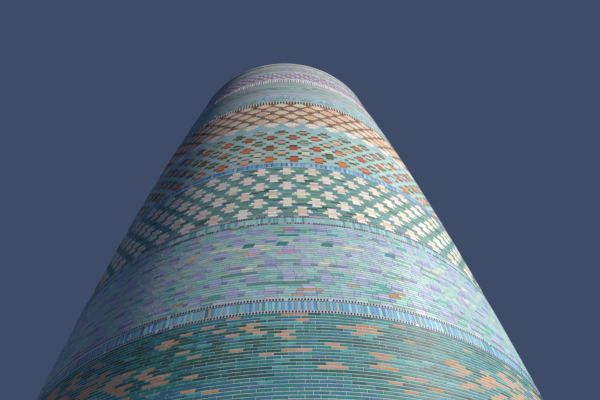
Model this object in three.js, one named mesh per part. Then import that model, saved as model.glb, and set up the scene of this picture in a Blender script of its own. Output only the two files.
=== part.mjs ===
// Round brick minaret: a squat, thick shaft that was left unfinished, so it is open at the top.
// A load-bearing brick wall carries a facing of glazed brick and tile, laid in bands round the shaft.
// Millimetres, +Z up. The origin is the centre of the foot, and the front is the side facing -Y.
import * as THREE from 'three';

// The outer face: a circle whose radius falls off with the height, slowly at first and faster above.
const FOOT_RADIUS = 7119;
const BATTER = 0.00763;
const SWELL = 2.498e-6;

// The wall: a stair-well of constant radius, brick up to it, and a half-brick facing outside.
const WELL_RADIUS = 3300;
const FACING = 130;
const FOOTING_TOP = 980;
const WALL_TOP = 26640;
const WALL_SECTORS = ['right', 'back_right', 'back', 'back_left', 'left', 'front_left', 'front', 'front_right'];

// The coping lies on the outer edge of the wall head and slopes down towards the well.
const COPING_TOP = 26880;
const COPING_WIDTH = 620;
const COPING_LIP = 18;
const COPING_FALL = 60;

// How a circle is cut into flats, and the clearance between curved faces that meet.
const SIDES = 48;
const CLEARANCE = 0.3;
const LONGEST_STEP = 3000;

// General colour and roughness of what isn't glazed, and the roughness of every glaze.
const BARE_BRICK = { colour: 0xa98763, roughness: 0.9 };
const COPING_MORTAR = { colour: 0xc4c3b8, roughness: 0.8 };
const GLAZE_ROUGHNESS = 0.35;

// The bands of the facing from the footing up: the height where each ends, how far it stands proud
// of the glazed courses, and its general colour.
const BANDS = [
  { name: 'glazed_courses', top: 7850, proud: 0, colour: 0x4f9a98 },
  { name: 'bead_row_1', top: 7920, proud: 14, colour: 0xa9a7b4 },
  { name: 'striped_tile_band', top: 8170, proud: -6, colour: 0x86b9d2 },
  { name: 'bead_row_2', top: 8240, proud: 14, colour: 0xa9a7b4 },
  { name: 'diamond_courses', top: 10785, proud: 0, colour: 0x93b3bd },
  { name: 'bead_row_3', top: 10855, proud: 14, colour: 0x9d9aa8 },
  { name: 'turquoise_fillet', top: 11085, proud: -6, colour: 0x55a9a5 },
  { name: 'bead_row_4', top: 11155, proud: 14, colour: 0x9d9aa8 },
  { name: 'star_courses', top: 13755, proud: 0, colour: 0x9fb0aa },
  { name: 'pale_edge_row', top: 13825, proud: 10, colour: 0xb0adc4 },
  { name: 'blue_tile_band', top: 14145, proud: -6, colour: 0x3f6fa6 },
  { name: 'cross_courses', top: 16660, proud: 0, colour: 0x8fb5ae },
  { name: 'lilac_fillet', top: 16990, proud: -6, colour: 0xa3b3c6 },
  { name: 'lattice_courses', top: 19620, proud: 0, colour: 0xc9a793 },
  { name: 'dentil_row', top: 19900, proud: 24, colour: 0x83756d },
  { name: 'streaked_courses', top: 22900, proud: 0, colour: 0x8fb0b4 },
  { name: 'toothed_row', top: 23360, proud: 16, colour: 0xb4b4ba },
  { name: 'ornament_frieze', top: 25100, proud: -10, colour: 0xaba6b8 },
  { name: 'lower_rim_band', top: 25960, proud: 0, colour: 0x97a2a2 },
  { name: 'upper_rim_band', top: WALL_TOP, proud: 6, colour: 0x9fa69b },
];

const group = new THREE.Group();
group.name = 'minaret';

// Outer radius of the glazed face at a height.
function faceRadius(z) {
  return FOOT_RADIUS - BATTER * z - SWELL * z * z;
}

// Heights from bottom to top, close enough for straight steps to follow the curved face.
function levels(bottom, top) {
  const count = Math.ceil((top - bottom) / LONGEST_STEP);
  return Array.from({ length: count + 1 }, (_, i) => bottom + ((top - bottom) * i) / count);
}

// Turn a closed outline of [radius, height] points about the Z axis, from one angle to another in
// steps of a whole flat. A full turn closes on itself; less than that gets an end face at each side.
function turned(outline, start, end, flats) {
  const full = flats === SIDES;
  const rows = full ? flats : flats + 1;
  const count = outline.length;
  const positions = [];
  for (let row = 0; row < rows; row += 1) {
    const angle = start + ((end - start) * row) / flats;
    for (const [radius, height] of outline) {
      positions.push(radius * Math.cos(angle), radius * Math.sin(angle), height);
    }
  }
  const indices = [];
  for (let row = 0; row < flats; row += 1) {
    const here = row * count;
    const next = ((row + 1) % rows) * count;
    for (let i = 0; i < count; i += 1) {
      const j = (i + 1) % count;
      indices.push(here + i, next + i, next + j);
      indices.push(here + i, next + j, here + j);
    }
  }
  if (!full) {
    const contour = outline.map(([radius, height]) => new THREE.Vector2(radius, height));
    const last = flats * count;
    for (const [a, b, c] of THREE.ShapeUtils.triangulateShape(contour, [])) {
      indices.push(a, b, c);
      indices.push(last + a, last + c, last + b);
    }
  }
  const geometry = new THREE.BufferGeometry();
  geometry.setAttribute('position', new THREE.Float32BufferAttribute(positions, 3));
  geometry.setIndex(indices);
  geometry.computeVertexNormals();
  return geometry;
}

// Add one named piece in its general colour.
function addPiece(name, geometry, { colour, roughness }) {
  const material = new THREE.MeshStandardMaterial({ color: colour, roughness, metalness: 0 });
  const mesh = new THREE.Mesh(geometry, material);
  mesh.name = name;
  group.add(mesh);
}

// One ring of the facing between two heights. Its back is where the wall's face is.
function facingRing(bottom, top, proud) {
  const heights = levels(bottom, top);
  const front = heights.map((z) => [faceRadius(z) + proud, z]);
  const back = heights.map((z) => [faceRadius(z) - FACING, z]).reverse();
  return turned([...front, ...back], 0, 2 * Math.PI, SIDES);
}

// One upright sector of the brick wall. The footing courses come out to the glazed face, and above
// them the wall stands back by the depth of the facing.
function wallSector(index) {
  const sweep = (2 * Math.PI) / WALL_SECTORS.length;
  const seam = CLEARANCE / 2 / WELL_RADIUS;
  const start = (index - 0.5) * sweep + seam;
  const end = (index + 0.5) * sweep - seam;
  const outline = [[WELL_RADIUS, 0]];
  outline.push([faceRadius(0), 0], [faceRadius(FOOTING_TOP), FOOTING_TOP]);
  let bottom = FOOTING_TOP;
  for (const band of BANDS) {
    for (const z of levels(bottom, band.top).slice(bottom === FOOTING_TOP ? 0 : 1)) {
      outline.push([faceRadius(z) - FACING - CLEARANCE, z]);
    }
    bottom = band.top;
  }
  outline.push([WELL_RADIUS, WALL_TOP]);
  return turned(outline, start, end, SIDES / WALL_SECTORS.length);
}

// The coping: a ring with a sloping top that throws the rain inwards.
function copingRing() {
  const outer = faceRadius(WALL_TOP) + COPING_LIP;
  const inner = faceRadius(WALL_TOP) - COPING_WIDTH;
  const outline = [
    [outer, WALL_TOP],
    [outer - COPING_LIP, COPING_TOP],
    [inner, COPING_TOP - COPING_FALL],
    [inner, WALL_TOP],
  ];
  return turned(outline, 0, 2 * Math.PI, SIDES);
}

WALL_SECTORS.forEach((side, index) => {
  addPiece(`brick_wall_${side}`, wallSector(index), BARE_BRICK);
});

let bandBottom = FOOTING_TOP;
for (const band of BANDS) {
  const finish = { colour: band.colour, roughness: GLAZE_ROUGHNESS };
  addPiece(band.name, facingRing(bandBottom, band.top, band.proud), finish);
  bandBottom = band.top;
}

addPiece('coping', copingRing(), COPING_MORTAR);

export default group;
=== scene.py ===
"""Dresses the minaret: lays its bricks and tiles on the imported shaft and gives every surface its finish.

Angles run round the shaft from the front, which faces -Y, towards +X. Heights are in metres above the foot.
"""

import logging
import math
from dataclasses import dataclass, field, fields
from enum import Enum, IntEnum
from typing import Sequence

import bpy
import numpy as np
from mathutils import Matrix, Vector


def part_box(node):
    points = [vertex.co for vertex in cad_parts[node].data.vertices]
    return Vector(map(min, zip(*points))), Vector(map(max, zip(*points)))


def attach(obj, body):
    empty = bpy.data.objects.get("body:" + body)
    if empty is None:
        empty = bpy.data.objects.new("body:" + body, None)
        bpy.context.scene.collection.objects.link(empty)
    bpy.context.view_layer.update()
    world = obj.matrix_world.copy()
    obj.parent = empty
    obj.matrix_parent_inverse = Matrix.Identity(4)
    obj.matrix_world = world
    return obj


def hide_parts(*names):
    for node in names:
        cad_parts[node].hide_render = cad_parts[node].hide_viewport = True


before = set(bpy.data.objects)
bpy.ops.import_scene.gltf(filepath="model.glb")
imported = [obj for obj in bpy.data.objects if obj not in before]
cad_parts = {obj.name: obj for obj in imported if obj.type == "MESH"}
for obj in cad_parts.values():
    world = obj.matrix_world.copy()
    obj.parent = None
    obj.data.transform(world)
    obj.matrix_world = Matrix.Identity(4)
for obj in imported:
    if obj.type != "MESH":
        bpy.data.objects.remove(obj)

Array = np.ndarray
Colour = tuple[float, float, float, float]
TURN = 2 * math.pi
COPING_WIDTH = 0.62
BAKE_MAP = "OFBake"

# The strips of the bake map, by region: where each begins and how high it is.
MAP_FOOT = np.array([0.10, 0.05, 0.0])
MAP_HEIGHT = np.array([0.90, 0.045, 0.045])

# How far a brick's colour may stray from its glaze, and how fast it does so with the tone in each channel.
TINT_SHIFT = 0.07
TINT_WAVES = np.array([97.0, 61.0, 43.0])

# How finely the mortar beds are cut: flats in a full turn, and the greatest height of a level.
BED_FLATS = 192
BED_LEVEL = 0.9


def linear(code: str) -> Colour:
    """Turns a colour code such as #2f8483 into the linear values that a shader takes.

    Args:
        code: Six hexadecimal digits after a hash sign.

    Returns:
        Red, green, blue and an alpha of 1.
    """
    parts = (int(code[i:i + 2], 16) / 255 for i in (1, 3, 5))
    red, green, blue = (c / 12.92 if c <= 0.04045 else ((c + 0.055) / 1.055) ** 2.4 for c in parts)
    return red, green, blue, 1.0


class Glaze(Enum):
    """The colours that the bricks and tiles come in, glazed ones first and bare clay last."""

    DEEP_TEAL = "#155c60"
    TEAL = "#1c8082"
    TURQUOISE = "#45a3a3"
    PEACOCK = "#2b7692"
    BOTTLE_GREEN = "#1d5c54"
    SEA_GREEN = "#5b8f87"
    SEA_BLUE = "#5a8c9e"
    SAGE_TEAL = "#6ba198"
    AQUA = "#84c0be"
    MINT = "#9cc7c6"
    SAGE = "#adc5bf"
    PALE_TURQUOISE = "#92bfbe"
    PALE_BLUE = "#a2bdd0"
    DARK_MAUVE = "#7b8aad"
    MAUVE = "#93a2c4"
    LILAC = "#a0afcd"
    PALE_LILAC = "#b5bdd7"
    CREAM = "#e4dccd"
    WHITE = "#e8e8e4"
    PALE_PEACH = "#e2cab5"
    PEACH = "#dcb499"
    PALE_PINK = "#e2ccc4"
    PINK = "#d3a19b"
    STRAW = "#dad2bc"
    ORANGE = "#d87a36"
    RUSSET = "#b4573d"
    MAROON = "#5e2f28"
    OLIVE = "#656f4e"
    FOREST = "#2e5445"
    UMBER = "#775a47"
    TAWNY = "#9c7d63"
    COBALT = "#3571ac"
    AZURE = "#4a96c6"
    SKY = "#8dbfdc"
    LAKE = "#6fa9c3"
    # Night-black is the beads' own glaze; in the dentil row and on the left of the teal courses it is painted
    # shade.
    NIGHT = "#1d1d22"
    GREY_GREEN = "#93a5a2"
    SILVER = "#aeb8b8"
    PEARL = "#c6cacd"
    SLATE = "#76888c"
    ASH = "#9ba8ab"
    HAZE = "#93b3b9"
    MIST_LILAC = "#aaa2b4"
    ROSE = "#c0b0b8"
    DUSK = "#8a8399"
    BARE_TAN = "#b6987c"
    BARE_PINK = "#bb907f"
    BARE_ORANGE = "#ba8555"

    @property
    def mark(self) -> int:
        """The number of this glaze in the list of all of them."""
        return list(Glaze).index(self)


PALETTE = np.array([linear(glaze.value) for glaze in Glaze])
Weights = dict[Glaze, float]


def mix(**shares: float) -> Weights:
    """Returns a number for each glaze, such as how often it comes, from the glazes' names."""
    return {Glaze[name]: share for name, share in shares.items()}


BARE = mix(BARE_TAN=3, BARE_PINK=3, BARE_ORANGE=2)


class Region(IntEnum):
    """The strip of the bake map that a face is laid in."""

    SHOWN = 0
    JOINT = 1
    HIDDEN = 2


def marks(glazes: Sequence[Glaze]) -> Array:
    """Returns the marks of several glazes as one array."""
    return np.array([glaze.mark for glaze in glazes])


def pick(rng: np.random.Generator, weights: Weights, count: int) -> Array:
    """Draws glazes at random.

    Args:
        rng: The source of random numbers.
        weights: How often each glaze comes.
        count: How many to draw.

    Returns:
        The marks of the drawn glazes.
    """
    share = np.array(list(weights.values()), float)
    return rng.choice(marks(list(weights)), size=count, p=share / share.sum())


def ring(count: int, fill: float = 1.0, shift: float = 0.0, gap: float = 0.0) -> tuple[Array, Array]:
    """Sets out equal bricks round the shaft.

    Args:
        count: How many bricks there are.
        fill: The share of its step that a brick fills, from the left.
        shift: How far round the first brick starts, in steps.
        gap: The angle by which each side of a brick is drawn in.

    Returns:
        The left and the right angle of each brick.
    """
    step = TURN / count
    left = (np.arange(count) + shift) * step
    return left + gap, left + step * fill - gap


@dataclass(frozen=True)
class Patches:
    """Soft random patches over the skin of the shaft, which close on themselves round it.

    The length and the height are those of a patch, and the girth is about the shaft's. Finer patches, each
    half the size of those before, are laid over the first ones by their shares.
    """

    seed: int
    length: float
    height: float
    girth: float = 42.0
    rows: int = 400
    shares: tuple[float, ...] = (1.0, 0.55, 0.3)

    def at(self, angle: Array, height: Array | float) -> Array:
        """Reads the patches at places on the shaft.

        Args:
            angle: The angle of each place.
            height: The height of each place, or one height for all of them.

        Returns:
            A smooth value from 0 to 1 for each place.
        """
        total = np.zeros(np.broadcast(angle, height).shape)
        for octave, share in enumerate(self.shares):
            columns = max(3, int(self.girth / self.length * 2 ** octave))
            grid = np.random.default_rng(self.seed + octave).random((self.rows, columns))
            u = (np.asarray(angle) / TURN % 1.0) * columns
            v = np.asarray(height) / self.height * 2 ** octave % self.rows
            i, j = np.floor(u).astype(int), np.floor(v).astype(int)
            fu, fv = u - i, v - j
            fu, fv = fu * fu * (3 - 2 * fu), fv * fv * (3 - 2 * fv)
            left, right = i % columns, (i + 1) % columns
            low, high = j % self.rows, (j + 1) % self.rows
            below = grid[low, left] * (1 - fu) + grid[low, right] * fu
            over = grid[high, left] * (1 - fu) + grid[high, right] * fu
            total += share * (below * (1 - fv) + over * fv)
        return total / sum(self.shares)


# How fast the speckle of a thin spot changes with the angle and with the height.
SPECKLE = (977, 613)


@dataclass(frozen=True)
class Spot:
    """A small patch of the skin whose bricks lost their glaze or have a glaze of their own, which in some
    spots is painted shade or a painted reflection.

    The angle is in degrees and the sizes are in metres. A share under 1 takes only some of the bricks.
    """

    angle: float
    height: float
    width: float
    rise: float = 0.08
    glaze: Glaze | None = None
    share: float = 1.0

    def covers(self, angles: Array, height: float, radius: float) -> Array:
        """Returns which bricks of a course lie in the spot.

        Args:
            angles: The angle of each brick's middle.
            height: The height of the course's middle.
            radius: The radius of the face there.

        Returns:
            One truth value for each brick.
        """
        apart = (angles - math.radians(self.angle) + math.pi) % TURN - math.pi
        inside = (np.abs(apart) * radius < self.width / 2) & (abs(height - self.height) < self.rise / 2)
        if self.share < 1:
            speckle = np.sin(angles * SPECKLE[0] + height * SPECKLE[1])
            inside &= speckle * 0.5 + 0.5 < self.share
        return inside


@dataclass(frozen=True)
class Shaft:
    """The outer face of the shaft: a circle that shrinks slowly at first and faster above."""

    foot_radius: float = 7.119
    batter: float = 0.00763
    swell: float = 0.002498
    well_radius: float = 3.3

    def radius(self, height: Array | float) -> Array:
        """Returns the radius of the face at each height."""
        height = np.asarray(height, float)
        return self.foot_radius - self.batter * height - self.swell * height ** 2

    def place(self, angle: Array, height: Array | float, proud: Array | float) -> Array:
        """Returns points on the shaft.

        Args:
            angle: Angles from the front, in radians.
            height: Heights above the foot.
            proud: How far each point stands out from the face.

        Returns:
            An array whose last axis holds x, y and z.
        """
        angle, height, proud = np.broadcast_arrays(angle, height, proud)
        reach = self.radius(height) + proud
        return np.stack([reach * np.sin(angle), -reach * np.cos(angle), height], -1)


SHAFT = Shaft()


class Quarter(Enum):
    """The quarters that a band's skin is made in, each from its start angle in quarter turns."""

    front_right = 0
    back_right = 1
    back_left = 2
    front_left = 3

    @property
    def start(self) -> float:
        """The angle where the quarter starts."""
        return self.value * TURN / 4


@dataclass
class Solid:
    """Closed bodies with four-sided faces, as arrays. What the shader reads is stated for each face.

    The flat place is where a point lies on the unrolled skin, as an angle and a height. A slot, glaze,
    tone or bareness may be one number for all the faces.
    """

    points: Array
    faces: Array
    flat: Array
    region: Array
    slot: Array | float = 0.0
    glaze: Array | float = 0.0
    tone: Array | float = 0.5
    bare: Array | float = 0.0

    def __post_init__(self) -> None:
        """Gives each face its own value of what was stated as one number."""
        for name in ("slot", "glaze", "tone", "bare"):
            value = np.asarray(getattr(self, name), float)
            setattr(self, name, np.broadcast_to(value, (len(self.faces),)))

    @staticmethod
    def joined(solids: Sequence["Solid"]) -> "Solid":
        """Joins several solids.

        Args:
            solids: The solids, in the order that their faces keep.

        Returns:
            One solid that holds them all.
        """
        steps = np.cumsum([0] + [len(s.points) for s in solids[:-1]])
        faces = np.concatenate([s.faces + step for s, step in zip(solids, steps)])
        rest = {item.name: np.concatenate([getattr(s, item.name) for s in solids])
                for item in fields(Solid) if item.name != "faces"}
        return Solid(faces=faces, **rest)

    def to_object(self, name: str, materials: Sequence[bpy.types.Material],
                  smooth: bool = False) -> bpy.types.Object:
        """Makes the mesh object.

        Args:
            name: The piece's name.
            materials: One material for each slot number that the faces use.
            smooth: Whether the faces are shaded smooth.

        Returns:
            The new object, linked to the scene.
        """
        mesh = bpy.data.meshes.new(name)
        mesh.vertices.add(len(self.points))
        mesh.vertices.foreach_set("co", self.points.astype(np.float32).ravel())
        mesh.loops.add(self.faces.size)
        mesh.loops.foreach_set("vertex_index", self.faces.astype(np.int32).ravel())
        mesh.polygons.add(len(self.faces))
        mesh.polygons.foreach_set("loop_start", np.arange(len(self.faces), dtype=np.int32) * 4)
        mesh.update(calc_edges=True)
        mesh.polygons.foreach_set("material_index", self.slot.astype(np.int32))
        mesh.polygons.foreach_set("use_smooth", np.full(len(self.faces), smooth))
        for label in ("tone", "bare"):
            values = getattr(self, label).astype(np.float32)
            mesh.attributes.new(label, "FLOAT", "FACE").data.foreach_set("value", values)
        colours = PALETTE[self.glaze.astype(int)]
        colours[:, :3] *= 1 + TINT_SHIFT * np.sin(self.tone[:, None] * TINT_WAVES)
        mesh.attributes.new("glaze", "FLOAT_COLOR", "FACE").data.foreach_set("color", colours.ravel())
        self.add_bake_map(mesh)
        mesh.validate()
        for material in materials:
            mesh.materials.append(material)
        piece = bpy.data.objects.new(name, mesh)
        bpy.context.scene.collection.objects.link(piece)
        logging.info("%s: %d faces", name, len(self.faces))
        return piece

    def add_bake_map(self, mesh: bpy.types.Mesh) -> None:
        """Lays the unrolled skin over the map, with joints and hidden faces in strips along its foot.

        Args:
            mesh: The mesh that was made from this solid.
        """
        corners = self.flat[self.faces.ravel()].reshape(-1, 4, 2)
        across = corners[..., 0]
        across += np.where(across.max(1, keepdims=True) - across > TURN / 2, TURN, 0.0)
        low, high = corners.min((0, 1)), corners.max((0, 1))
        place = (corners - low) / np.maximum(high - low, 1e-9)
        region = self.region.astype(int)[:, None]
        place[..., 1] = MAP_FOOT[region] + place[..., 1] * MAP_HEIGHT[region]
        layer = mesh.uv_layers.new(name=BAKE_MAP)
        layer.uv.foreach_set("vector", place.astype(np.float32).ravel())


# A brick's corners are its root's four and then its face's four. The first side is its face and the second
# its root.
BOX_FACES = np.array([[4, 5, 6, 7], [3, 2, 1, 0], [0, 1, 5, 4], [1, 2, 6, 5], [2, 3, 7, 6], [3, 0, 4, 7]])
BOX_REGIONS = np.where(np.arange(6) == 1, Region.HIDDEN, Region.SHOWN)


@dataclass
class Masonry:
    """Bricks and tiles laid on the shaft, gathered as rows of arrays until they are made into meshes."""

    seed: int
    rows: list[dict[str, Array]] = field(default_factory=list)

    def __post_init__(self) -> None:
        """Starts the random numbers for this body of masonry."""
        self.rng = np.random.default_rng(self.seed)

    def lay(self, left: Array, right: Array, bottom: Array | float, top: Array | float,
            glaze: Array | float, proud: Array | float = 0.0, bare: Array | float = 0.0,
            tone: Array | None = None, slot: int = 1, bevel: float = 0.0022, wobble: float = 0.0008) -> None:
        """Lays one row of bricks.

        Args:
            left: The angle of each brick's left side.
            right: The angle of each brick's right side.
            bottom: The height of each brick's underside.
            top: The height of each brick's upper side.
            glaze: The mark of each brick's glaze.
            proud: How far each brick's face stands out from the shaft's face.
            bare: How far each brick has lost its glaze, from 0 to 1.
            tone: A number from 0 to 1 that shifts each brick's shade, random if left out.
            slot: The material slot of the bricks.
            bevel: How much smaller each brick's face is than its root.
            wobble: How far each corner of a face may lie in or out.
        """
        count = len(left)
        tone = self.rng.random(count) if tone is None else tone
        row = {"left": left, "right": right, "bottom": bottom, "top": top, "glaze": glaze,
               "proud": proud, "bare": bare, "tone": tone, "slot": slot, "bevel": bevel}
        row = {name: np.broadcast_to(np.asarray(value, float), (count,)) for name, value in row.items()}
        row["wobble"] = self.rng.uniform(-wobble, wobble, (count, 4))
        self.rows.append(row)

    def solid(self, start: float, end: float, root: float = 0.03) -> Solid:
        """Makes the bricks whose middle lies between two angles.

        Args:
            start: The angle where the stretch starts.
            end: The angle where it ends.
            root: How deep the bricks reach in behind the shaft's face.

        Returns:
            The bricks as one solid.
        """
        rows = {name: np.concatenate([row[name] for row in self.rows]) for name in self.rows[0]}
        middle = (rows["left"] + rows["right"]) / 2
        if end - start < TURN:
            keep = (middle - start) % TURN < end - start
            shift = np.floor((middle - start) / TURN) * TURN
            rows["left"], rows["right"] = rows["left"] - shift, rows["right"] - shift
            rows = {name: value[keep] for name, value in rows.items()}
        count = len(rows["left"])
        squeeze = rows["bevel"] / SHAFT.radius(rows["bottom"])
        angles = np.stack([rows["left"], rows["right"], rows["right"], rows["left"]], 1)
        heights = np.stack([rows["bottom"], rows["bottom"], rows["top"], rows["top"]], 1)
        inward, upward = np.array([[1, -1, -1, 1], [1, 1, -1, -1]])
        face_angles = angles + inward * squeeze[:, None]
        face_heights = heights + upward * rows["bevel"][:, None]
        back = SHAFT.place(angles, heights, -root)
        front = SHAFT.place(face_angles, face_heights, rows["proud"][:, None] + rows["wobble"])
        flat = np.stack([np.hstack([angles, face_angles]), np.hstack([heights, face_heights])], -1)
        return Solid(
            points=np.concatenate([back, front], 1).reshape(-1, 3),
            faces=(np.arange(count)[:, None, None] * 8 + BOX_FACES).reshape(-1, 4),
            flat=flat.reshape(-1, 2),
            region=np.tile(BOX_REGIONS, count),
            **{name: np.repeat(rows[name], 6) for name in ("slot", "glaze", "tone", "bare")},
        )


def bed(start: float, end: float, bottom: float, top: float, proud: float, depth: float = 0.115,
        glaze: float = 0.0) -> Solid:
    """Makes a closed curved slab that backs a stretch of masonry.

    Args:
        start: The angle of its left end.
        end: The angle of its right end.
        bottom: The height of its underside.
        top: The height of its upper side.
        proud: How far its face stands out from the shaft's face.
        depth: How deep its back lies behind the shaft's face.
        glaze: The mark of its glaze, where its material reads one.

    Returns:
        The slab.
    """
    flats = max(4, round((end - start) / TURN * BED_FLATS))
    levels = max(1, math.ceil((top - bottom) / BED_LEVEL))
    angles = np.linspace(start, end, flats + 1)[:, None]
    heights = np.linspace(bottom, top, levels + 1)[None, :]
    sides = [SHAFT.place(angles, heights, proud), SHAFT.place(angles, heights, -depth)]
    points = np.stack(sides, 1).reshape(-1, 3)
    flat = np.stack(np.broadcast_arrays(angles, heights), -1)
    flat = np.stack([flat, flat], 1).reshape(-1, 2)
    back = levels + 1
    after = 2 * back
    low = np.arange(flats) * after
    high = low + levels
    front = low[:, None] + np.arange(levels)
    rear = front + back
    skin = np.stack([front, front + after, front + after + 1, front + 1], -1).reshape(-1, 4)
    groups = [
        skin,
        np.stack([rear + 1, rear + after + 1, rear + after, rear], -1).reshape(-1, 4),
        np.stack([low + back, low + after + back, low + after, low], -1),
        np.stack([high, high + after, high + after + back, high + back], -1),
    ]
    last = flats * after
    if end - start > TURN - 1e-6:
        groups = [np.where(group >= last, group - last, group) for group in groups]
        points, flat = points[:last], flat[:last]
    else:
        left = np.arange(levels)
        right = left + last
        groups += [np.stack([left + back, left, left + 1, left + 1 + back], -1),
                   np.stack([right, right + back, right + back + 1, right + 1], -1)]
    faces = np.concatenate(groups)
    region = np.where(np.arange(len(faces)) < len(skin), Region.JOINT, Region.HIDDEN)
    return Solid(points, faces, flat, region, glaze=glaze)


class Wire:
    """One output of a shader tree that can be added, multiplied and so on like a number."""

    def __init__(self, bench: "Bench", socket: bpy.types.NodeSocket | None) -> None:
        """Wraps an output socket of a tree, or None for a node that has no output."""
        self.bench = bench
        self.socket = socket

    def maths(self, operation: str, *others: "Wire | float", swap: bool = False) -> "Wire":
        """Adds one Math node.

        Args:
            operation: The node's operation.
            *others: The values after this one.
            swap: Whether this value comes after the first of the others.

        Returns:
            The node's result.
        """
        values = [self, *others]
        if swap:
            values[0], values[1] = values[1], values[0]
        return self.bench.node("Math", dict(enumerate(values)), operation=operation)

    def __add__(self, other: "Wire | float") -> "Wire":
        """Sum."""
        return self.maths("ADD", other)

    def __radd__(self, other: float) -> "Wire":
        """Sum with a number in front."""
        return self.maths("ADD", other)

    def __sub__(self, other: "Wire | float") -> "Wire":
        """Difference."""
        return self.maths("SUBTRACT", other)

    def __rsub__(self, other: float) -> "Wire":
        """A number less this value."""
        return self.maths("SUBTRACT", other, swap=True)

    def __mul__(self, other: "Wire | float") -> "Wire":
        """Product."""
        return self.maths("MULTIPLY", other)

    def __rmul__(self, other: float) -> "Wire":
        """Product with a number in front."""
        return self.maths("MULTIPLY", other)

    def __truediv__(self, other: "Wire | float") -> "Wire":
        """Quotient."""
        return self.maths("DIVIDE", other)

    def __rtruediv__(self, other: float) -> "Wire":
        """A number divided by this value."""
        return self.maths("DIVIDE", other, swap=True)

    def above(self, limit: "Wire | float", soft: float = 0.02) -> "Wire":
        """Returns 1 where this value is over a limit and 0 under it, with a soft step between."""
        return ((self - limit) / soft + 0.5).clipped()

    def clipped(self) -> "Wire":
        """Returns this value kept between 0 and 1."""
        return self.maths("MAXIMUM", 0.0).maths("MINIMUM", 1.0)


class Bench:
    """A material's node tree, with one method that adds any node."""

    def __init__(self, name: str) -> None:
        """Starts an empty material.

        Args:
            name: The material's name.
        """
        self.material = bpy.data.materials.new(name)
        self.material.use_nodes = True
        self.tree = self.material.node_tree
        self.tree.nodes.clear()

    def node(self, kind: str, inputs: dict | None = None, output: int | str = 0,
             **settings: str | bool) -> Wire:
        """Adds a node.

        Args:
            kind: The node's type, without the ShaderNode in front.
            inputs: Values or wires by the socket's name or number.
            output: The name or number of the output to return.
            **settings: Properties of the node, which are set first.

        Returns:
            A wire from that output.
        """
        node = self.tree.nodes.new(f"ShaderNode{kind}")
        for name, value in settings.items():
            setattr(node, name, value)
        for name, value in (inputs or {}).items():
            if isinstance(value, Wire):
                self.tree.links.new(value.socket, node.inputs[name])
            else:
                node.inputs[name].default_value = value
        return Wire(self, node.outputs[output] if len(node.outputs) else None)

    def reading(self, name: str, kind: str = "Fac") -> Wire:
        """Returns a face attribute as a number, or as a colour where kind is Color."""
        return self.node("Attribute", output=kind, attribute_name=name)

    def place(self) -> Wire:
        """Returns the point on the object."""
        return self.node("TexCoord", output="Object")

    def scaled(self, value: Wire, scale: Wire | tuple[float, float, float]) -> Wire:
        """Returns a point or a colour scaled along each axis."""
        return self.node("VectorMath", {0: value, 1: scale}, operation="MULTIPLY")

    def noise(self, place: Wire, scale: float, detail: float = 3.0, fourth: "Wire | float" = 0.0) -> Wire:
        """Returns cloud noise about 0.5, at so many clouds to the metre; the fourth value picks the cloud."""
        inputs = {"Vector": place, "W": fourth, "Scale": scale, "Detail": detail, "Roughness": 0.55}
        return self.node("TexNoise", inputs, "Fac", noise_dimensions="4D")

    def blend(self, factor: Wire, first: Wire | Colour, second: Wire | Colour) -> Wire:
        """Returns two colours mixed."""
        inputs = {0: factor, 6: first, 7: second}
        return self.node("Mix", inputs, 2, data_type="RGBA", blend_type="MIX", clamp_factor=True)

    def brightened(self, colour: Wire, amount: Wire) -> Wire:
        """Returns a colour times a number."""
        return self.scaled(colour, self.node("CombineXYZ", {0: amount, 1: amount, 2: amount}))

    def relief(self, height: Wire, strength: float, distance: float) -> Wire:
        """Returns a bumped normal."""
        inputs = {"Height": height, "Strength": strength, "Distance": distance}
        return self.node("Bump", inputs, "Normal")

    def finish(self, **sockets: "Wire | float | Colour") -> bpy.types.Material:
        """Adds the surface shader and the output.

        Args:
            **sockets: Values of the shader's sockets, with _ for a space in the name.

        Returns:
            The finished material.
        """
        inputs = {name.replace("_", " "): value for name, value in sockets.items()}
        shader = self.node("BsdfPrincipled", inputs)
        self.node("OutputMaterial", {"Surface": shader})
        return self.material


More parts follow.
